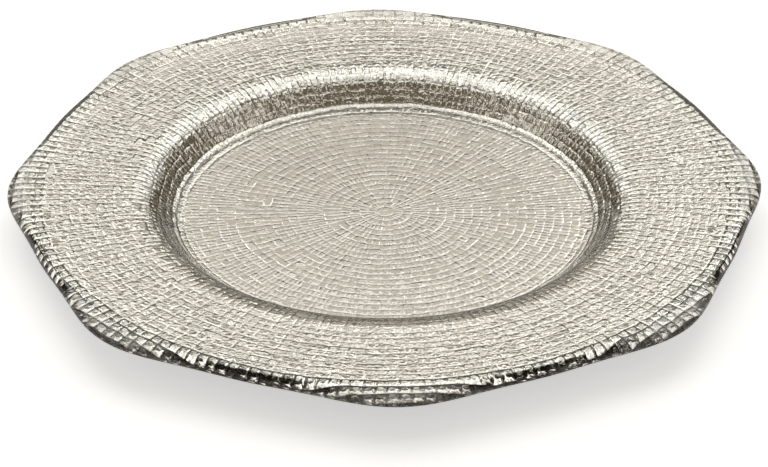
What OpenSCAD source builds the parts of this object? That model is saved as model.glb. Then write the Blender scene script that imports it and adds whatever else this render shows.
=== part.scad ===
// Charger plate of clear pressed glass. A mosaic of concentric rings is pressed into its underside,
// which is silvered and then lacquered, so that the silver shows through the smooth top.
// The origin is on the table, on the axis of the plate. Lobes point along X and Y.

/* [Outline] */
// Width of the plate across two opposite lobe tips
plate_w = 330; // [290:1:370]
// Number of lobes round the rim
lobe_count = 8; // [5:1:12]
// How far the hollows between the lobes lie inside the lobe tips
lobe_depth = 7.5; // [3:0.5:11]
// How narrow the lobes are: 1 is an even wave, larger is narrower
lobe_sharpness = 1.8; // [1:0.1:2.5]

/* [Glass] */
// Thickness of the glass, measured square to its surface
glass_t = 5; // [4:0.25:7]
// Width of the round on the upper side of the edge, in the hollows between the lobes
edge_round_w = 2; // [1:0.25:4]
// Height of the upright band on the edge
edge_band_h = 1; // [0.5:0.1:1.5]
// Radius of the round on the lower side of the edge
edge_low_r = 0.6; // [0.4:0.1:1.2]

/* [Well] */
// Width of the flat floor of the well
floor_w = 178; // [150:1:200]
// Depth of the well, from its shoulder to its floor
well_depth = 13.3; // [11:0.1:17]
// Slope of the well's wall, in degrees
wall_angle = 45; // [40:1:52]
// Radius of the hollow round at the foot of the wall
cove_r = 6; // [4:0.5:9]
// Radius of the shoulder at the top of the wall
shoulder_r = 20; // [14:0.5:24]

/* [Rim] */
// Upward slope of the rim, in degrees
rim_slope = 2.4; // [1:0.2:8]

/* [Mosaic rings] */
// Width of one ring of the mosaic, along the surface
ring_pitch = 3.9; // [3.4:0.1:6]
// How far each ring is pressed into the glass
ring_rise = 0.35; // [0.2:0.05:0.6]
// Width of the flat land between two rings
ring_land = 0.5; // [0.3:0.1:0.8]
// Width of the slope on each side of a ring
ring_side_w = 1.1; // [0.8:0.1:1.2]

/* [Foot] */
// Width of the plain ring at the edge of the floor that the plate stands on
foot_w = 3; // [2:0.25:6]

/* [Coatings] */
// Thickness of the silver film
film_t = 0.2; // [0.1:0.05:0.3]
// Thickness of the protective lacquer
lacquer_t = 0.25; // [0.15:0.05:0.5]
// Width of bare glass between the coatings and the lower round of the edge
coat_margin = 0.2; // [0.1:0.1:1]

/* [Hidden] */

$fn = 96;
// Steps of a profile arc, of the edge's rounds and of the outline along one lobe
arc_steps = 6;
edge_steps = 4;
lobe_steps = 16;
// Room that the revolved blank has outside the outline that trims it
blank_margin = 4;
// How far the trimming form's rounds end outside the blank, so that they cross its surface cleanly
trim_lift = 0.06;

lobe_r = plate_w / 2;
floor_r = floor_w / 2;
foot_in_r = floor_r - foot_w;
coats_t = film_t + lacquer_t;
floor_z = coats_t + glass_t;
edge_round_h = glass_t - edge_band_h - edge_low_r;
round_r = lobe_r - lobe_depth - edge_round_w;
trim_lead_w = 3 * edge_round_h;
coat_inset = edge_low_r + coat_margin;

// Radius of the lobed outline at the angle a
function outline_r(a) =
    lobe_r - lobe_depth + lobe_depth * pow((1 + cos(lobe_count * a)) / 2, lobe_sharpness);

outline_steps = lobe_count * lobe_steps;
outline_angles = [for (i = [0 : outline_steps - 1]) 360 * i / outline_steps];
// Turn of the revolved forms, so that their seam meets the outline between two of its corners
seam_turn = 0.4 * 360 / outline_steps;

// Corner points of the top surface, as radius and height over the floor
cove_end = [floor_r + cove_r * sin(wall_angle), cove_r * (1 - cos(wall_angle))];
shoulder_rise = shoulder_r * (cos(rim_slope) - cos(wall_angle));
wall_rise = well_depth - cove_end.y - shoulder_rise;
wall_end = cove_end + wall_rise * [1 / tan(wall_angle), 1];
shoulder_mid = wall_end + shoulder_r * [sin(wall_angle), -cos(wall_angle)];
rim_start = shoulder_mid + shoulder_r * [-sin(rim_slope), cos(rim_slope)];
blank_r = lobe_r + blank_margin;

// Height of the rim over the floor at the radius r
function rim_height(r) = rim_start.y + (r - rim_start.x) * tan(rim_slope);

blank_top = floor_z + rim_height(blank_r);

// Profile that runs the depth d below the top surface and even with it:
// floor, cove, straight wall, shoulder and sloping rim
function profile(d) = concat(
    [[0, -d]],
    [for (i = [0 : arc_steps]) let (a = wall_angle * i / arc_steps)
        [floor_r, cove_r] + (cove_r + d) * [sin(a), -cos(a)]],
    [for (i = [0 : arc_steps]) let (a = wall_angle + (rim_slope - wall_angle) * i / arc_steps)
        shoulder_mid + (shoulder_r - d) * [-sin(a), cos(a)]],
    [[blank_r, rim_height(blank_r) - d / cos(rim_slope)]]);

top_curve = profile(0);
under_curve = profile(glass_t);

// Distance along the underside's profile from the axis to its point number i
function distance_to(i) = i == 0 ? 0 : distance_to(i - 1) + norm(under_curve[i] - under_curve[i - 1]);

radius_table = [for (i = [0 : len(under_curve) - 1]) [distance_to(i), under_curve[i].x]];
height_table = [for (i = [0 : len(under_curve) - 1]) [distance_to(i), under_curve[i].y]];
blank_end = distance_to(len(under_curve) - 1);

// Point of the underside's profile at the distance s along it
function along(s) = [lookup(s, radius_table), lookup(s, height_table)];

// Section of the rings between two distances along the profile, as points of distance and rise.
// The pitch is fitted so that a whole number of rings fills the stretch.
function ring_section(s0, s1) =
    let (count = round((s1 - s0) / ring_pitch), p = (s1 - s0) / count)
    [for (j = [0 : count - 1]) let (a = s0 + j * p, b = a + p) each [
        [a + ring_land / 2, 0],
        [a + ring_land / 2 + ring_side_w, ring_rise],
        [b - ring_land / 2 - ring_side_w, ring_rise],
        [b - ring_land / 2, 0]]];

// Sections of the well, where a round button takes the place of the innermost ring, and of the rim
well_rings = ring_section(0, foot_in_r);
button_top = [0, ring_rise];
well_section = concat([button_top], [for (i = [2 : len(well_rings) - 1]) well_rings[i]]);
rim_section = concat(ring_section(floor_r, blank_end), [[blank_end, 0]]);
foot_end = [floor_r, 0];
underside_section = concat(well_section, [foot_end], rim_section);

// The underside of the glass, or of a coat that reaches drop below it, as points of radius and
// height over the table
function underside(drop) =
    [for (p = underside_section) along(p[0]) + [0, floor_z + p[1] - drop]];

function reversed(list) = [for (i = [len(list) - 1 : -1 : 0]) list[i]];

// The revolved blank of the plate, before its outline is trimmed
module glass_blank() {
    rotate([0, 0, seam_turn])
        rotate_extrude()
            polygon(concat([for (p = top_curve) p + [0, floor_z]], reversed(underside(0))));
}

// One upright section of the trimming form at the angle a, from its bottom to its top.
// It follows the rounded edge and then rises clear of the rim. The round starts on one circle, so it
// is widest on the lobes.
function edge_section(a) =
    let (
        r = outline_r(a),
        top = floor_z + rim_height(round_r) + trim_lift,
        low = floor_z + rim_height(r - edge_low_r) - glass_t / cos(rim_slope) - trim_lift)
    concat(
        [[r - edge_low_r, 0]],
        [for (i = [0 : edge_steps]) let (t = 90 * i / edge_steps)
            [r - edge_low_r * (1 - sin(t)), low + edge_low_r * (1 - cos(t))]],
        [for (i = [0 : edge_steps]) let (t = 90 * i / edge_steps)
            [round_r + (r - round_r) * cos(t), top - edge_round_h * (1 - sin(t))]],
        [[round_r - trim_lead_w, top + edge_round_h]]);

// Lobed form with a rounded edge, which trims the blank
module edge_form() {
    sections = [for (a = outline_angles) [for (p = edge_section(a)) [p.x * cos(a), p.x * sin(a), p.y]]];
    n = outline_steps;
    m = len(sections[0]);
    bottom_mid = [0, 0, 0];
    top_mid = [0, 0, blank_top + edge_round_h];
    points = concat([for (s = sections) each s], [bottom_mid, top_mid]);
    faces = concat(
        [for (i = [0 : n - 1]) let (k = (i + 1) % n) for (j = [0 : m - 2]) each [
            [i * m + j, i * m + j + 1, k * m + j],
            [k * m + j, i * m + j + 1, k * m + j + 1]]],
        [for (i = [0 : n - 1]) [i * m, ((i + 1) % n) * m, n * m]],
        [for (i = [0 : n - 1]) [((i + 1) % n) * m + m - 1, i * m + m - 1, n * m + 1]]);
    polyhedron(points, faces);
}

// A coat that covers the underside from one drop below the glass to another, inside the lobed edge
module coat(from, to) {
    intersection() {
        rotate([0, 0, seam_turn])
            rotate_extrude()
                polygon(concat(underside(from), reversed(underside(to))));
        linear_extrude(blank_top)
            polygon([for (a = outline_angles) (outline_r(a) - coat_inset) * [cos(a), sin(a)]]);
    }
}

module glass_plate() {
    color([0.86, 0.86, 0.82])
        intersection() {
            glass_blank();
            edge_form();
        }
}

module silver_film() {
    color("silver")
        coat(0, film_t);
}

module back_lacquer() {
    color([0.5, 0.48, 0.44])
        coat(film_t, coats_t);
}

glass_plate();
silver_film();
back_lacquer();
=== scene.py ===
"""Charger plate of clear pressed glass with a silvered ring mosaic on its underside.

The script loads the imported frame, models the glass, its silver film and its coat of lacquer in
metres in that frame, and sets a plain studio stage.
"""
import math
import random

import bmesh
import bpy
from mathutils import Matrix, Vector, noise


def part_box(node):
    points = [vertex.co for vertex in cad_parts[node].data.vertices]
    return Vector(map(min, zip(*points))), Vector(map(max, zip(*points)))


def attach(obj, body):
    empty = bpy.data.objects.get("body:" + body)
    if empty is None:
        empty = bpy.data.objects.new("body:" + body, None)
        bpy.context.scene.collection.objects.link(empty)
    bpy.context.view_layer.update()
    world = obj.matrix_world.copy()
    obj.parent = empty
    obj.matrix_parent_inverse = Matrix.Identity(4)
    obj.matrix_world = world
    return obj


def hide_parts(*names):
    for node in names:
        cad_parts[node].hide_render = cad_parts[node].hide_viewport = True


bl_info = {
    "name": "Charger Plate",
    "version": (1, 0, 0),
    "blender": (4, 5, 0),
    "location": "3D View > Sidebar > Charger Plate",
    "description": "Models a mosaic glass charger plate over its packed frame",
    "category": "Add Mesh",
}

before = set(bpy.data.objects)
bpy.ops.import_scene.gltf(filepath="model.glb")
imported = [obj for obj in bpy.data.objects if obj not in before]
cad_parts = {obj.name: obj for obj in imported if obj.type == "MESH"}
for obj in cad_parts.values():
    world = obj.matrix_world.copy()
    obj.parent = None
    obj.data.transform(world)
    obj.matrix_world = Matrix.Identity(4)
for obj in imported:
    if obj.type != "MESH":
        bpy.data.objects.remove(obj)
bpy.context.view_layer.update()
MM = 0.001
PLATE_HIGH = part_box("glass_plate")[1]
# The glass reaches this far into the film, so that no gap shows between them
GLASS_SINK = 0.08 * MM
# The flat floor has one more loop this far from its end, so that it is shaded flat
FLAT_END = 0.3 * MM
# The profiles run on this far outside the lobe tips
PROFILE_REACH = 4 * MM
# Steps of each arc of a profile
ARC_STEPS = 10
# Loops of the floor and of the rim, and steps of the upper and the lower round of the edge
FLOOR_LOOPS = 6
RIM_LOOPS = 8
ROUND_STEPS = 12
LOW_ROUND_STEPS = 5
# Edges of the glass that bend more than this are sharp
SHARP_BEND = math.radians(40)
# Points of a spun form that are nearer than this are one point
SPUN_GAP = 0.001 * MM
# Corners of tiles that are nearer than this are one corner
CORNER_GAP = 0.25 * MM
# The underside of the glass is welded to its edge where they are nearer than this
WELD_GAP = 0.02 * MM
# Room for rounding where a distance meets the end of a path
ROUNDING = 1e-9
# Length of the waves in which the rings swing in and out
WAVE_LENGTH = 22 * MM
# Inside this radius the corners of the tiles stray less round the axis
STRAY_FROM_R = 20 * MM
# Form of a raised tile: 2 is an oval, larger is nearer to a rectangle
TILE_ROUNDNESS = 2.6
# A tile keeps at least this share of its width inside its border
LEAST_TOP = 0.3
# Keeps the form of a tile from dividing by nothing at its middle
LEAST_SPREAD = 0.001
# Least and most share of the rise that one tile has
RISE_SPREAD = (0.6, 1.4)
WHITE = (1, 1, 1, 1)
# Half the width of the studio floor, in metres
STUDIO_HALF_W = 6
# How much lighter the paper looks to the camera and through the glass
PAPER_LIFT = 0.57
PAPER_LIFT_THROUGH_GLASS = 0.3
# Level of the dim room, which the plate mirrors. The camera sees it white
ROOM_LEVEL = 0.14
# The lamps stand this far from the middle of the plate, in metres
LAMP_DISTANCE = 2.1
# Turn of the camera round the plate and its elevation in degrees, its place before that turn, and
# its focal length and width of sensor, in millimetres
CAMERA_TURN = -1.9
CAMERA_ELEVATION = 32.097
CAMERA_PLACE = (-0.6, -1007.9, 624.1)
FOCAL_LENGTH = 125.8
SENSOR_WIDTH = 36.0


class PlateSizes(bpy.types.PropertyGroup):
    """Sizes of the glass and of its coatings"""

    lobe_r: bpy.props.FloatProperty(
        name="Lobe radius", description="From the axis to a lobe tip",
        default=PLATE_HIGH[0], unit="LENGTH")
    lobe_count: bpy.props.IntProperty(
        name="Lobes", description="Number of lobes round the rim", default=8)
    lobe_depth: bpy.props.FloatProperty(
        name="Lobe depth", description="How far the hollows lie inside the lobe tips",
        default=7.5 * MM, unit="LENGTH")
    lobe_sharpness: bpy.props.FloatProperty(
        name="Lobe sharpness", description="1 is an even wave, larger is narrower", default=1.8)
    glass_t: bpy.props.FloatProperty(
        name="Glass", description="Thickness of the glass, square to its surface",
        default=5 * MM, unit="LENGTH")
    floor_r: bpy.props.FloatProperty(
        name="Floor radius", description="Radius of the flat floor of the well",
        default=89 * MM, unit="LENGTH")
    foot_w: bpy.props.FloatProperty(
        name="Foot", description="Width of the plain ring that the plate stands on",
        default=3 * MM, unit="LENGTH")
    well_depth: bpy.props.FloatProperty(
        name="Well depth", description="From the shoulder of the well to its floor",
        default=13.3 * MM, unit="LENGTH")
    wall_slope: bpy.props.FloatProperty(
        name="Wall slope", description="Slope of the wall of the well",
        default=math.radians(45), subtype="ANGLE")
    cove_r: bpy.props.FloatProperty(
        name="Cove", description="Radius of the hollow round at the foot of the wall",
        default=6 * MM, unit="LENGTH")
    shoulder_r: bpy.props.FloatProperty(
        name="Shoulder", description="Radius of the shoulder at the top of the wall",
        default=20 * MM, unit="LENGTH")
    rim_slope: bpy.props.FloatProperty(
        name="Rim slope", description="Upward slope of the rim",
        default=math.radians(2.4), subtype="ANGLE")
    edge_round_w: bpy.props.FloatProperty(
        name="Edge round", description="Width of the upper round of the edge between the lobes",
        default=2 * MM, unit="LENGTH")
    edge_round_h: bpy.props.FloatProperty(
        name="Edge round height", description="Height of that round",
        default=3.4 * MM, unit="LENGTH")
    edge_low_r: bpy.props.FloatProperty(
        name="Lower edge round", description="Radius of the round on the lower side of the edge",
        default=0.6 * MM, unit="LENGTH")
    coat_inset: bpy.props.FloatProperty(
        name="Coat inset", description="Width of bare glass outside the silver film",
        default=0.8 * MM, unit="LENGTH")
    film_t: bpy.props.FloatProperty(
        name="Film", description="Thickness of the silver film", default=0.2 * MM, unit="LENGTH")
    lacquer_t: bpy.props.FloatProperty(
        name="Lacquer", description="Thickness of the lacquer", default=0.25 * MM, unit="LENGTH")


class MosaicSizes(bpy.types.PropertyGroup):
    """Sizes of the mosaic tiles pressed into the underside of the glass"""

    ring_pitch: bpy.props.FloatProperty(
        name="Ring pitch", description="Width of one ring of tiles, along the surface",
        default=3.9 * MM, unit="LENGTH")
    rim_columns: bpy.props.IntProperty(
        name="Rim columns", description="Tiles in one ring of the rim", default=208)
    half_from_r: bpy.props.FloatProperty(
        name="Half count from", description="Inside this radius a ring has half as many tiles",
        default=65 * MM, unit="LENGTH")
    quarter_from_r: bpy.props.FloatProperty(
        name="Quarter count from", description="Inside this radius a ring has a quarter as many",
        default=27 * MM, unit="LENGTH")
    eighth_from_r: bpy.props.FloatProperty(
        name="Eighth count from", description="Inside this radius a ring has an eighth as many",
        default=11.5 * MM, unit="LENGTH")
    floor_rise: bpy.props.FloatProperty(
        name="Floor rise", description="How far a tile of the floor is pressed into the glass",
        default=0.055 * MM, unit="LENGTH")
    wall_rise: bpy.props.FloatProperty(
        name="Wall rise", description="How far a tile of the wall is pressed into the glass",
        default=0.13 * MM, unit="LENGTH")
    rim_rise: bpy.props.FloatProperty(
        name="Rim rise", description="How far a tile of the rim is pressed into the glass",
        default=0.09 * MM, unit="LENGTH")
    border: bpy.props.FloatProperty(
        name="Border", description="Width of the sloping border of a tile",
        default=0.7 * MM, unit="LENGTH")
    rim_from_r: bpy.props.FloatProperty(
        name="Rim tiles from", description="Outside this radius the tiles lie on the rim",
        default=110 * MM, unit="LENGTH")
    edge_from_r: bpy.props.FloatProperty(
        name="Edge tiles from",
        description="Outside this radius the tiles lie under the rounded edge",
        default=151 * MM, unit="LENGTH")
    edge_rise: bpy.props.FloatProperty(
        name="Edge rise",
        description="How far a tile under the rounded edge is pressed into the glass",
        default=0.4 * MM, unit="LENGTH")
    edge_border: bpy.props.FloatProperty(
        name="Edge border",
        description="Width of the sloping border of a tile under the rounded edge",
        default=1.0 * MM, unit="LENGTH")
    wander: bpy.props.FloatProperty(
        name="Wander", description="How far the corners of the tiles stray from their grid",
        default=0.32 * MM, unit="LENGTH")
    waves: bpy.props.FloatProperty(
        name="Waves", description="How far the rings of tiles swing in and out along their way",
        default=0.5 * MM, unit="LENGTH")
    merged: bpy.props.FloatProperty(
        name="Merged", description="Share of the tiles that have run into the next one",
        default=0.07)
    floor_lift: bpy.props.FloatProperty(
        name="Floor lift", description="How far the corners of the floor's tiles stray in height",
        default=0.02 * MM, unit="LENGTH")
    rim_lift: bpy.props.FloatProperty(
        name="Rim lift", description="How far the corners of the rim's tiles stray in height",
        default=0.045 * MM, unit="LENGTH")
    floor_tilt: bpy.props.FloatProperty(
        name="Floor tilt", description="Largest lean of one tile of the floor",
        default=math.radians(0.8), subtype="ANGLE")
    rim_tilt: bpy.props.FloatProperty(
        name="Rim tilt", description="Largest lean of one tile of the rim",
        default=math.radians(2.4), subtype="ANGLE")
    seed: bpy.props.IntProperty(
        name="Seed", description="Start of the random sequence", default=7)


class PlateColours(bpy.types.PropertyGroup):
    """Colours of the finishes as sRGB hex values"""

    glass: bpy.props.StringProperty(
        name="Glass", description="Tint of the clear glass", default="#FBFBF8")
    silver: bpy.props.StringProperty(
        name="Silver", description="Colour of the silver film", default="#E8E6E1")
    lacquer: bpy.props.StringProperty(
        name="Lacquer", description="Colour of the lacquer on the back", default="#8A857A")
    floor: bpy.props.StringProperty(
        name="Floor", description="Colour of the studio floor", default="#F1F2F4")
    warm_lamp: bpy.props.StringProperty(
        name="Warm lamp", description="Colour of the warmer lamps", default="#FFFBF4")
    white_lamp: bpy.props.StringProperty(
        name="White lamp", description="Colour of the whiter lamps", default="#FFFFFF")
    room: bpy.props.StringProperty(
        name="Room", description="Colour of the dim room", default="#FFEBC4")


def linear(hex_colour):
    """Turns an sRGB hex value to the linear colour that a shader takes."""
    channels = [int(hex_colour[i:i + 2], 16) / 255 for i in (1, 3, 5)]
    straight = [c / 12.92 if c <= 0.04045 else ((c + 0.055) / 1.055) ** 2.4 for c in channels]
    return (*straight, 1.0)


def outline_radius(sizes, angle):
    """Radius of the lobed outline at an angle."""
    wave = (1 + math.cos(sizes.lobe_count * angle)) / 2
    return sizes.lobe_r - sizes.lobe_depth + sizes.lobe_depth * wave ** sizes.lobe_sharpness


def round_start(sizes):
    """Radius of the circle on which the rim starts to round off to its lobed edge."""
    return sizes.lobe_r - sizes.lobe_depth - sizes.edge_round_w


def coat_radius(sizes, angle):
    """Radius at which the coats end at an angle."""
    return outline_radius(sizes, angle) - sizes.coat_inset


def profile(sizes, depth=0.0):
    """Radii and heights over the floor of a line that runs even with the top, a depth below it."""
    slope = sizes.wall_slope
    cove_end_r = sizes.floor_r + sizes.cove_r * math.sin(slope)
    cove_end_z = sizes.cove_r * (1 - math.cos(slope))
    shoulder_rise = sizes.shoulder_r * (math.cos(sizes.rim_slope) - math.cos(slope))
    wall_rise = sizes.well_depth - cove_end_z - shoulder_rise
    mid_r = cove_end_r + wall_rise / math.tan(slope) + sizes.shoulder_r * math.sin(slope)
    mid_z = cove_end_z + wall_rise - sizes.shoulder_r * math.cos(slope)
    cove_r = sizes.cove_r + depth
    shoulder_r = sizes.shoulder_r - depth
    points = [(0.0, -depth)]
    for i in range(ARC_STEPS + 1):
        a = slope * i / ARC_STEPS
        points.append((sizes.floor_r + cove_r * math.sin(a), sizes.cove_r - cove_r * math.cos(a)))
    for i in range(ARC_STEPS + 1):
        a = slope + (sizes.rim_slope - slope) * i / ARC_STEPS
        points.append((mid_r - shoulder_r * math.sin(a), mid_z + shoulder_r * math.cos(a)))
    last_r, last_z = points[-1]
    reach = sizes.lobe_r + PROFILE_REACH
    points.append((reach, last_z + (reach - last_r) * math.tan(sizes.rim_slope)))
    return points


def height_at(curve, radius):
    """Height of a profile over the floor at a radius."""
    for (r0, h0), (r1, h1) in zip(curve, curve[1:]):
        if radius <= r1:
            return h0 + (h1 - h0) * (radius - r0) / (r1 - r0)
    raise ValueError("the radius lies outside the plate")


def ring_lines(curve, start_r, end_r, pitch):
    """Radii of the lines between the rings, evenly spaced along a profile."""
    inside = [p for p in curve if start_r < p[0] < end_r]
    path = [(start_r, height_at(curve, start_r)), *inside, (end_r, height_at(curve, end_r))]
    distances = [0.0]
    for a, b in zip(path, path[1:]):
        distances.append(distances[-1] + math.dist(a, b))
    count = round(distances[-1] / pitch)
    radii = []
    for j in range(count + 1):
        s = distances[-1] * j / count
        i = min(k for k in range(1, len(path)) if s <= distances[k] + ROUNDING)
        t = (s - distances[i - 1]) / (distances[i] - distances[i - 1])
        radii.append(path[i - 1][0] + (path[i][0] - path[i - 1][0]) * t)
    return radii


def spun(points, steps):
    """A bmesh of points of radius and height, spun once round the axis of the plate."""
    bm = bmesh.new()
    verts = [bm.verts.new((r, 0, z)) for r, z in points]
    edges = [bm.edges.new(pair) for pair in zip(verts, verts[1:])]
    bmesh.ops.spin(bm, geom=verts + edges, cent=(0, 0, 0), axis=(0, 0, 1), angle=math.tau,
                   steps=steps, use_merge=True)
    bmesh.ops.remove_doubles(bm, verts=bm.verts, dist=SPUN_GAP)
    return bm


def polar(vert):
    """Radius and angle of a vertex."""
    return math.hypot(vert.co.x, vert.co.y), math.atan2(vert.co.y, vert.co.x)


def corners(element):
    """Corner points of an edge or a face in a fixed order, by which elements are sorted."""
    return sorted(tuple(vert.co) for vert in element.verts)


def place(vert, radius, angle, z):
    """Puts a vertex at a radius, an angle and a height."""
    vert.co = (radius * math.cos(angle), radius * math.sin(angle), z)


def coats_t(sizes):
    """Thickness of the film and the lacquer together."""
    return sizes.film_t + sizes.lacquer_t


def floor_z(sizes):
    """Height of the floor of the well over the table."""
    return coats_t(sizes) + sizes.glass_t


def underside_section(sizes, mosaic, curve, drop):
    """Points of the underside, lowered by drop: one point at each line between rings."""
    well = ring_lines(curve, 0, sizes.floor_r - sizes.foot_w, mosaic.ring_pitch)[1:]
    rim = ring_lines(curve, sizes.floor_r, curve[-1][0], mosaic.ring_pitch)
    return [(r, floor_z(sizes) + height_at(curve, r) - drop) for r in [*well, *rim]]


def thin_columns(bm, mosaic, whole_r, rng):
    """Takes out columns where a ring has fewer tiles, and lets some inside whole_r run together."""
    step = math.tau / mosaic.rim_columns
    limits = (mosaic.half_from_r, mosaic.quarter_from_r, mosaic.eighth_from_r)
    spare = []
    for edge in sorted(bm.edges, key=corners):
        (r0, a0), (r1, a1) = polar(edge.verts[0]), polar(edge.verts[1])
        column = round(a0 / step) % mosaic.rim_columns
        if column != round(a1 / step) % mosaic.rim_columns:
            continue
        share = 2 ** sum((r0 + r1) / 2 < limit for limit in limits)
        if column % share or (max(r0, r1) < whole_r and rng.random() < mosaic.merged):
            spare.append(edge)
    bmesh.ops.dissolve_edges(bm, edges=spare, use_verts=True, use_face_split=False)


def pillow(tile, border, rise, lean):
    """Draws the inner face of a tile in from its border to a rounded form and raises it."""
    middle = tile.calc_center_median()
    up = tile.normal.copy()
    across = Vector((-middle.y, middle.x, 0)).normalized()
    out = across.cross(up).normalized()
    offsets = [vert.co - middle for vert in tile.verts]
    half_out = max(abs(offset.dot(out)) for offset in offsets)
    half_across = max(abs(offset.dot(across)) for offset in offsets)
    keep_out = max(1 - border / half_out, LEAST_TOP)
    keep_across = max(1 - border / half_across, LEAST_TOP)
    for vert, offset in zip(tile.verts, offsets):
        u = offset.dot(out) / half_out
        v = offset.dot(across) / half_across
        spread = (abs(u) ** TILE_ROUNDNESS + abs(v) ** TILE_ROUNDNESS) ** (1 / TILE_ROUNDNESS)
        shrink = max(abs(u), abs(v)) / max(spread, LEAST_SPREAD)
        u *= half_out * keep_out * shrink
        v *= half_across * keep_across * shrink
        height = offset.dot(up) * keep_out * shrink + rise + lean[0] * u + lean[1] * v
        vert.co = middle + out * u + across * v + up * height


def sag(curve, radius, inner_r, outer_r):
    """How far a profile lies over the straight line between two of its radii."""
    inner_z = height_at(curve, inner_r)
    rise = height_at(curve, outer_r) - inner_z
    return height_at(curve, radius) - inner_z - rise * (radius - inner_r) / (outer_r - inner_r)


def bend(verts, curve, inner_r, outer_r):
    """Bends the flat points of a tile to the profile between its inner and outer line."""
    for vert in verts:
        vert.co.z += sag(curve, polar(vert)[0], inner_r, outer_r)


def base_sheet(sizes, mosaic, drop, rng):
    """The lines between the tiles as an open sheet that faces up, with its corners strayed."""
    curve = profile(sizes, sizes.glass_t)
    section = underside_section(sizes, mosaic, curve, drop)
    hub_r = section[0][0]
    base = floor_z(sizes) - drop
    bm = spun(section, mosaic.rim_columns)
    whole_r = sizes.lobe_r - sizes.lobe_depth - sizes.coat_inset - mosaic.ring_pitch
    thin_columns(bm, mosaic, whole_r, rng)
    for vert in bm.verts:
        radius, angle = polar(vert)
        limit = coat_radius(sizes, angle)
        if radius > limit:
            place(vert, limit, angle, base + height_at(curve, limit))
    bmesh.ops.remove_doubles(bm, verts=bm.verts, dist=CORNER_GAP)
    for vert in sorted(bm.verts, key=lambda vert: tuple(vert.co)):
        radius, angle = polar(vert)
        shift = (rng.uniform(-1, 1) * mosaic.wander, rng.uniform(-1, 1) * mosaic.wander)
        if vert.is_boundary:
            if radius > whole_r:
                limit = coat_radius(sizes, angle)
                place(vert, limit, angle, base + height_at(curve, limit))
            continue
        swing = noise.noise(Vector((vert.co.x, vert.co.y, 0)) / WAVE_LENGTH) * mosaic.waves
        most_lift = mosaic.rim_lift if radius > sizes.floor_r else mosaic.floor_lift
        lift = rng.uniform(-1, 1) * most_lift
        radius += shift[0] + swing
        angle += shift[1] / max(radius, STRAY_FROM_R)
        place(vert, radius, angle, base + height_at(curve, radius) + lift)
    hub = [e for e in bm.edges if e.is_boundary and polar(e.verts[0])[0] < 2 * hub_r]
    bmesh.ops.edgeloop_fill(bm, edges=hub)
    bmesh.ops.recalc_face_normals(bm, faces=bm.faces)
    if sum(face.normal.z for face in bm.faces) < 0:
        bmesh.ops.reverse_faces(bm, faces=bm.faces)
    return bm


def tile_form(sizes, mosaic, radius):
    """Largest lean, rise and width of the border of a tile at a radius."""
    if radius < sizes.floor_r:
        return mosaic.floor_tilt, mosaic.floor_rise, mosaic.border
    if radius < mosaic.rim_from_r:
        return mosaic.rim_tilt, mosaic.wall_rise, mosaic.border
    if radius < mosaic.edge_from_r:
        return mosaic.rim_tilt, mosaic.rim_rise, mosaic.border
    return mosaic.rim_tilt, mosaic.edge_rise, mosaic.edge_border


def underside_sheet(sizes, mosaic, drop, tiled=True, crowned=False):
    """The underside of the glass or of a coat as an open sheet that faces up.

    A tiled sheet has raised tiles, and a crowned one has them rounder and bent to the profile.
    """
    rng = random.Random(mosaic.seed)
    bm = base_sheet(sizes, mosaic, drop, rng)
    tone = bm.faces.layers.float.new("tile_tone")
    # Sorted, so that each tile gets the same random values in every run
    tiles = sorted(bm.faces, key=corners)
    for tile in tiles:
        tile.smooth = True
        tile[tone] = rng.random()
    if not tiled:
        return bm
    for edge in bm.edges:
        edge.smooth = False
    bmesh.ops.inset_individual(bm, faces=tiles, thickness=0, depth=0)
    if crowned:
        bmesh.ops.bisect_edges(bm, edges=[edge for tile in tiles for edge in tile.edges], cuts=1)
    spans = {}
    for tile in tiles:
        radius = math.hypot(*tile.calc_center_median().xy)
        tilt, rise, border = tile_form(sizes, mosaic, radius)
        most = math.tan(tilt)
        lean = (rng.uniform(-most, most), rng.uniform(-most, most))
        if radius >= sizes.floor_r:
            radii = [polar(vert)[0] for vert in tile.verts]
            spans[tile.verts[0]] = (min(radii), max(radii))
        pillow(tile, border, rise * rng.uniform(*RISE_SPREAD), lean)
    if crowned:
        curve = profile(sizes, sizes.glass_t)
        for middle in bmesh.ops.poke(bm, faces=tiles)["verts"]:
            tile_verts = [middle, *(edge.other_vert(middle) for edge in middle.link_edges)]
            for vert in tile_verts:
                if vert in spans:
                    bend(tile_verts, curve, *spans[vert])
    return bm


def join(bm, other):
    """Adds the faces of another bmesh to a bmesh."""
    mesh = bpy.data.meshes.new("part")
    other.to_mesh(mesh)
    other.free()
    bm.from_mesh(mesh)
    bpy.data.meshes.remove(mesh)


def lap(bm, sizes):
    """Lets a sheet run on over the lower round of the edge."""
    rim = [edge for edge in bm.edges if edge.is_boundary]
    half = sizes.edge_low_r / 2
    for made in bmesh.ops.extrude_edge_only(bm, edges=rim)["geom"]:
        if isinstance(made, bmesh.types.BMVert):
            angle = polar(made)[1]
            place(made, outline_radius(sizes, angle) - half, angle, made.co.z + half)


def coat(sizes, mosaic, upper, lower, crowned):
    """A closed coat between two drops below the glass."""
    bm = underside_sheet(sizes, mosaic, upper, tiled=crowned, crowned=crowned)
    under = underside_sheet(sizes, mosaic, lower, tiled=not crowned)
    if crowned:
        lap(bm, sizes)
        lap(under, sizes)
    join(bm, under)
    bmesh.ops.bridge_loops(bm, edges=[e for e in bm.edges if e.is_boundary])
    bmesh.ops.recalc_face_normals(bm, faces=bm.faces)
    # No tile that leans reaches through the table
    for vert in bm.verts:
        vert.co.z = max(vert.co.z, 0.0)
    return bm


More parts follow.
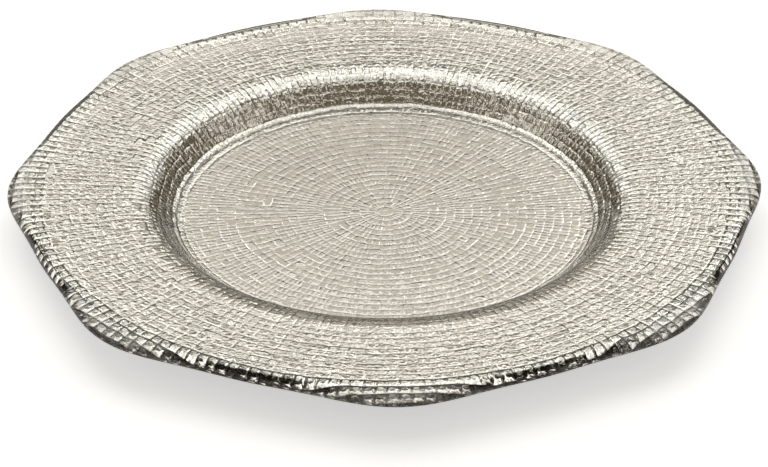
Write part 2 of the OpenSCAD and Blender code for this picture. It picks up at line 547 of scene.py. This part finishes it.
def glass_section(sizes):
    """Section of the glass from the middle of its top, over the edge, to its silvered underside."""
    curve = profile(sizes)
    under = profile(sizes, sizes.glass_t)
    top = floor_z(sizes)
    start = round_start(sizes)
    points = [(sizes.floor_r * i / FLOOR_LOOPS, top) for i in range(FLOOR_LOOPS)]
    points.append((sizes.floor_r - FLAT_END, top))
    points += [(r, top + z) for r, z in curve[1:-1]]
    flat = points[-1][0]
    for i in range(1, RIM_LOOPS + 1):
        radius = flat + (start - flat) * i / RIM_LOOPS
        points.append((radius, top + height_at(curve, radius)))
    high = points[-1][1]
    wide = sizes.lobe_r - start
    for i in range(1, ROUND_STEPS + 1):
        t = math.pi / 2 * i / ROUND_STEPS
        points.append((start + wide * math.sin(t), high - sizes.edge_round_h * (1 - math.cos(t))))
    low_r = sizes.edge_low_r
    low = top + height_at(under, sizes.lobe_r - low_r)
    for i in range(LOW_ROUND_STEPS + 1):
        t = math.pi / 2 * i / LOW_ROUND_STEPS
        points.append((sizes.lobe_r - low_r * (1 - math.cos(t)), low + low_r * (1 - math.sin(t))))
    inner = sizes.lobe_r - sizes.coat_inset
    points.append((inner, top + height_at(under, inner) - GLASS_SINK))
    return points


def draw_to_lobes(bm, sizes):
    """Draws the edge of the spun glass in to its lobed outline."""
    start = round_start(sizes)
    rim_z = floor_z(sizes) + height_at(profile(sizes), start)
    middle_z = rim_z - (sizes.glass_t + sizes.edge_round_h) / 2
    for vert in bm.verts:
        radius, angle = polar(vert)
        if radius <= start:
            continue
        draw_in = sizes.lobe_r - outline_radius(sizes, angle)
        if vert.co.z < middle_z:
            place(vert, radius - draw_in, angle, vert.co.z - draw_in * math.tan(sizes.rim_slope))
        else:
            share = (radius - start) / (sizes.lobe_r - start)
            place(vert, radius - draw_in * share, angle, vert.co.z)


def new_piece(name, bm, material, node):
    """Makes a bmesh a piece that stands for a CAD node."""
    mesh = bpy.data.meshes.new(name)
    bm.to_mesh(mesh)
    bm.free()
    mesh.materials.append(material)
    piece = bpy.data.objects.new(name, mesh)
    bpy.context.scene.collection.objects.link(piece)
    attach(piece, "root")
    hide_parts(node)
    return piece


def add_node(tree, kind, settings=None, inputs=None):
    """Adds a node, sets its properties, and sets or links its inputs."""
    node = tree.nodes.new(kind)
    for key, value in (settings or {}).items():
        setattr(node, key, value)
    for key, value in (inputs or {}).items():
        if isinstance(value, bpy.types.NodeSocket):
            tree.links.new(value, node.inputs[key])
        else:
            node.inputs[key].default_value = value
    return node


def new_material(name):
    """An empty node material and its output node."""
    material = bpy.data.materials.new(name)
    material.use_nodes = True
    material.node_tree.nodes.clear()
    return material, material.node_tree, add_node(material.node_tree, "ShaderNodeOutputMaterial")


def pressed_clear_glass(colours):
    """Clear soda-lime glass, pressed and fire-polished: a wet gloss with a faint waviness."""
    material, tree, out = new_material("pressed_clear_glass")
    place_on = add_node(tree, "ShaderNodeTexCoord").outputs["Object"]
    waves = add_node(tree, "ShaderNodeTexNoise", inputs={
        "Vector": place_on, "Scale": 1 / (14 * MM), "Detail": 1.0})
    bump = add_node(tree, "ShaderNodeBump", inputs={
        "Strength": 0.25, "Distance": 0.2 * MM, "Height": waves.outputs["Fac"]})
    shader = add_node(tree, "ShaderNodeBsdfPrincipled", inputs={
        "Base Color": linear(colours.glass), "Roughness": 0.0, "IOR": 1.5,
        "Transmission Weight": 1.0, "Normal": bump.outputs["Normal"]})
    tree.links.new(shader.outputs[0], out.inputs["Surface"])
    return material


def deposited_silver(colours):
    """Silver deposited on pressed tiles: a bright mirror, dented on the rim, hazy at the edge."""
    material, tree, out = new_material("deposited_silver")
    place_on = add_node(tree, "ShaderNodeTexCoord").outputs["Object"]
    from_axis = add_node(tree, "ShaderNodeVectorMath", {"operation": "LENGTH"}, {0: place_on})
    from_axis = from_axis.outputs["Value"]
    tone = add_node(tree, "ShaderNodeAttribute", {"attribute_name": "tile_tone"}).outputs["Fac"]
    haze = add_node(tree, "ShaderNodeTexNoise", inputs={
        "Vector": place_on, "Scale": 1 / (3 * MM), "Detail": 3.0})
    dents = add_node(tree, "ShaderNodeTexNoise", inputs={
        "Vector": place_on, "Scale": 1 / (1.5 * MM), "Detail": 1.0})
    dented = add_node(tree, "ShaderNodeMapRange", inputs={
        "Value": from_axis, "From Min": 84 * MM, "From Max": 90 * MM,
        "To Min": 0.3, "To Max": 1.0})
    bump = add_node(tree, "ShaderNodeBump", inputs={
        "Strength": dented.outputs["Result"], "Distance": 0.2 * MM, "Height": dents.outputs["Fac"]})
    shade = add_node(tree, "ShaderNodeMapRange", inputs={
        "Value": tone, "To Min": 0.86, "To Max": 1.0})
    colour = add_node(tree, "ShaderNodeVectorMath", {"operation": "SCALE"}, {
        0: linear(colours.silver)[:3], "Scale": shade.outputs["Result"]})
    rough = add_node(tree, "ShaderNodeMapRange", inputs={
        "Value": haze.outputs["Fac"], "From Min": 0.3, "From Max": 0.7,
        "To Min": 0.04, "To Max": 0.1})
    edge = add_node(tree, "ShaderNodeMapRange", inputs={
        "Value": from_axis, "From Min": 155 * MM, "From Max": 158 * MM,
        "To Min": 0.0, "To Max": 0.2})
    rough = add_node(tree, "ShaderNodeMath", {"operation": "ADD"}, {
        0: rough.outputs["Result"], 1: edge.outputs["Result"]})
    shader = add_node(tree, "ShaderNodeBsdfPrincipled", inputs={
        "Base Color": colour.outputs[0], "Metallic": 1.0, "Roughness": rough.outputs[0],
        "Normal": bump.outputs["Normal"]})
    tree.links.new(shader.outputs[0], out.inputs["Surface"])
    return material


def sprayed_lacquer(colours):
    """Sprayed satin lacquer: an even grey with a fine orange-peel and faint clouds."""
    material, tree, out = new_material("sprayed_lacquer")
    place_on = add_node(tree, "ShaderNodeTexCoord").outputs["Object"]
    clouds = add_node(tree, "ShaderNodeTexNoise", inputs={
        "Vector": place_on, "Scale": 1 / (30 * MM), "Detail": 4.0})
    peel = add_node(tree, "ShaderNodeTexNoise", inputs={
        "Vector": place_on, "Scale": 1 / (1.2 * MM), "Detail": 1.0})
    shade = add_node(tree, "ShaderNodeMapRange", inputs={
        "Value": clouds.outputs["Fac"], "To Min": 0.85, "To Max": 1.1})
    colour = add_node(tree, "ShaderNodeVectorMath", {"operation": "SCALE"}, {
        0: linear(colours.lacquer)[:3], "Scale": shade.outputs["Result"]})
    bump = add_node(tree, "ShaderNodeBump", inputs={
        "Strength": 0.3, "Distance": 0.05 * MM, "Height": peel.outputs["Fac"]})
    shader = add_node(tree, "ShaderNodeBsdfPrincipled", inputs={
        "Base Color": colour.outputs[0], "Roughness": 0.35, "Normal": bump.outputs["Normal"]})
    tree.links.new(shader.outputs[0], out.inputs["Surface"])
    return material


def studio_paper(colours):
    """Matt white studio paper, shown a little lighter to the eye."""
    material, tree, out = new_material("studio_paper")
    path = add_node(tree, "ShaderNodeLightPath")
    through = add_node(tree, "ShaderNodeMath", {"operation": "MULTIPLY"}, {
        0: path.outputs["Is Transmission Ray"], 1: PAPER_LIFT_THROUGH_GLASS})
    lift = add_node(tree, "ShaderNodeMath", {"operation": "MULTIPLY_ADD"}, {
        0: path.outputs["Is Camera Ray"], 1: PAPER_LIFT, 2: through.outputs[0]})
    shader = add_node(tree, "ShaderNodeBsdfPrincipled", inputs={
        "Base Color": linear(colours.floor), "Roughness": 0.9, "Emission Color": WHITE,
        "Emission Strength": lift.outputs[0]})
    tree.links.new(shader.outputs[0], out.inputs["Surface"])
    return material


class PLATE_OT_glass(bpy.types.Operator):
    """Model the clear glass with the mosaic pressed into its underside"""

    bl_idname = "charger_plate.glass"
    bl_label = "Glass"

    def execute(self, context):
        sizes = context.scene.plate_sizes
        mosaic = context.scene.plate_mosaic
        bm = spun(glass_section(sizes), mosaic.rim_columns)
        draw_to_lobes(bm, sizes)
        join(bm, underside_sheet(sizes, mosaic, GLASS_SINK))
        bmesh.ops.remove_doubles(bm, verts=bm.verts, dist=WELD_GAP)
        bmesh.ops.recalc_face_normals(bm, faces=bm.faces)
        for face in bm.faces:
            face.smooth = True
        material = pressed_clear_glass(context.scene.plate_colours)
        piece = new_piece("mosaic_glass", bm, material, "glass_plate")
        piece.data.set_sharp_from_angle(angle=SHARP_BEND)
        return {"FINISHED"}


class PLATE_OT_silver(bpy.types.Operator):
    """Model the silver film on the underside of the glass"""

    bl_idname = "charger_plate.silver"
    bl_label = "Silver film"

    def execute(self, context):
        sizes = context.scene.plate_sizes
        bm = coat(sizes, context.scene.plate_mosaic, 0, sizes.film_t, crowned=True)
        material = deposited_silver(context.scene.plate_colours)
        new_piece("mosaic_silver", bm, material, "silver_film")
        return {"FINISHED"}


class PLATE_OT_lacquer(bpy.types.Operator):
    """Model the coat of lacquer under the silver film"""

    bl_idname = "charger_plate.lacquer"
    bl_label = "Lacquer"

    def execute(self, context):
        sizes = context.scene.plate_sizes
        bm = coat(sizes, context.scene.plate_mosaic, sizes.film_t, coats_t(sizes), crowned=False)
        material = sprayed_lacquer(context.scene.plate_colours)
        new_piece("lacquer_coat", bm, material, "back_lacquer")
        return {"FINISHED"}


def add_softbox(name, azimuth, elevation, size, level, colour):
    """A large lamp at angles in degrees that faces the plate and mirrors in it at about that level."""
    lamp = bpy.data.lights.new(name, "AREA")
    lamp.shape = "RECTANGLE"
    lamp.size, lamp.size_y = size
    lamp.energy = level * math.pi * size[0] * size[1]
    lamp.color = linear(colour)[:3]
    softbox = bpy.data.objects.new(name, lamp)
    turn = Matrix.Rotation(math.radians(-azimuth), 3, "Z")
    rise = Matrix.Rotation(math.radians(elevation), 3, "X")
    softbox.location = turn @ rise @ Vector((0, LAMP_DISTANCE, 0))
    softbox.rotation_euler = (-softbox.location).to_track_quat("-Z", "Y").to_euler()
    softbox.visible_camera = False
    bpy.context.scene.collection.objects.link(softbox)


def set_floor(scene):
    """Adds the sheet of studio paper that the plate stands on."""
    bm = bmesh.new()
    bmesh.ops.create_grid(bm, x_segments=2, y_segments=2, size=STUDIO_HALF_W)
    mesh = bpy.data.meshes.new("studio_floor")
    bm.to_mesh(mesh)
    bm.free()
    mesh.materials.append(studio_paper(scene.plate_colours))
    floor = bpy.data.objects.new("studio_floor", mesh)
    scene.collection.objects.link(floor)


def set_lamps(colours):
    """Adds the lamps behind, beside, over and in front of the plate."""
    warm = colours.warm_lamp
    white = colours.white_lamp
    add_softbox("low_panel", 0, 11, (1.3, 0.7), 0.38, warm)
    add_softbox("back_panel", 0, 29, (1.2, 0.65), 0.56, warm)
    add_softbox("upper_panel", 0, 46, (1.2, 0.6), 1.1, white)
    add_softbox("top_panel", 0, 64, (1.6, 0.6), 0.9, warm)
    for side in (-1, 1):
        add_softbox("side_panel", side * 27, 29, (0.75, 0.95), 1.15, white)
        add_softbox("corner_panel", side * 38, 47, (0.9, 0.8), 1.2, white)
        add_softbox("wing_panel", side * 90, 40, (1.2, 0.8), 0.8, warm)
    add_softbox("front_panel", 180, 41, (2.4, 0.8), 0.5, warm)
    add_softbox("overhead_panel", 0, 80, (2.4, 1.4), 0.85, white)


def set_world(scene):
    """Adds the dim warm room, which is white where the camera sees it."""
    world = bpy.data.worlds.new("studio")
    world.use_nodes = True
    tree = world.node_tree
    tree.nodes.clear()
    seen = add_node(tree, "ShaderNodeLightPath").outputs["Is Camera Ray"]
    level = add_node(tree, "ShaderNodeMapRange", inputs={
        "Value": seen, "To Min": ROOM_LEVEL, "To Max": 1.0})
    tint = add_node(tree, "ShaderNodeMixRGB", inputs={
        "Fac": seen, "Color1": linear(scene.plate_colours.room), "Color2": WHITE})
    sky = add_node(tree, "ShaderNodeBackground", inputs={
        "Color": tint.outputs["Color"], "Strength": level.outputs["Result"]})
    add_node(tree, "ShaderNodeOutputWorld", inputs={"Surface": sky.outputs[0]})
    scene.world = world


def set_camera(scene):
    """Adds the camera at the photo's viewing angle."""
    turn = math.radians(CAMERA_TURN)
    lens = bpy.data.cameras.new("photo_view")
    lens.sensor_fit = "HORIZONTAL"
    lens.sensor_width = SENSOR_WIDTH
    lens.lens = FOCAL_LENGTH
    lens.clip_end = 50
    camera = bpy.data.objects.new("photo_view", lens)
    camera.location = Matrix.Rotation(turn, 3, "Z") @ Vector(CAMERA_PLACE) * MM
    camera.rotation_euler = (math.radians(90 - CAMERA_ELEVATION), 0, turn)
    scene.collection.objects.link(camera)
    scene.camera = camera


class PLATE_OT_stage(bpy.types.Operator):
    """Set the floor, the lamps and the camera"""

    bl_idname = "charger_plate.stage"
    bl_label = "Stage"

    def execute(self, context):
        scene = context.scene
        set_floor(scene)
        set_lamps(scene.plate_colours)
        set_world(scene)
        set_camera(scene)
        scene.view_settings.view_transform = "Standard"
        return {"FINISHED"}


class PLATE_PT_panel(bpy.types.Panel):
    """Lists the steps that make the plate"""

    bl_idname = "PLATE_PT_panel"
    bl_label = "Charger Plate"
    bl_space_type = "VIEW_3D"
    bl_region_type = "UI"
    bl_category = "Charger Plate"

    def draw(self, context):
        for operator in STEPS:
            self.layout.operator(operator.bl_idname)


STEPS = (PLATE_OT_glass, PLATE_OT_silver, PLATE_OT_lacquer, PLATE_OT_stage)
CLASSES = (PlateSizes, MosaicSizes, PlateColours, *STEPS, PLATE_PT_panel)


def register():
    for cls in CLASSES:
        bpy.utils.register_class(cls)
    bpy.types.Scene.plate_sizes = bpy.props.PointerProperty(type=PlateSizes)
    bpy.types.Scene.plate_mosaic = bpy.props.PointerProperty(type=MosaicSizes)
    bpy.types.Scene.plate_colours = bpy.props.PointerProperty(type=PlateColours)


def unregister():
    del bpy.types.Scene.plate_colours
    del bpy.types.Scene.plate_mosaic
    del bpy.types.Scene.plate_sizes
    for cls in reversed(CLASSES):
        bpy.utils.unregister_class(cls)


def main():
    register()
    bpy.ops.charger_plate.glass()
    bpy.ops.charger_plate.silver()
    bpy.ops.charger_plate.lacquer()
    bpy.ops.charger_plate.stage()


if __name__ == "__main__":
    main()
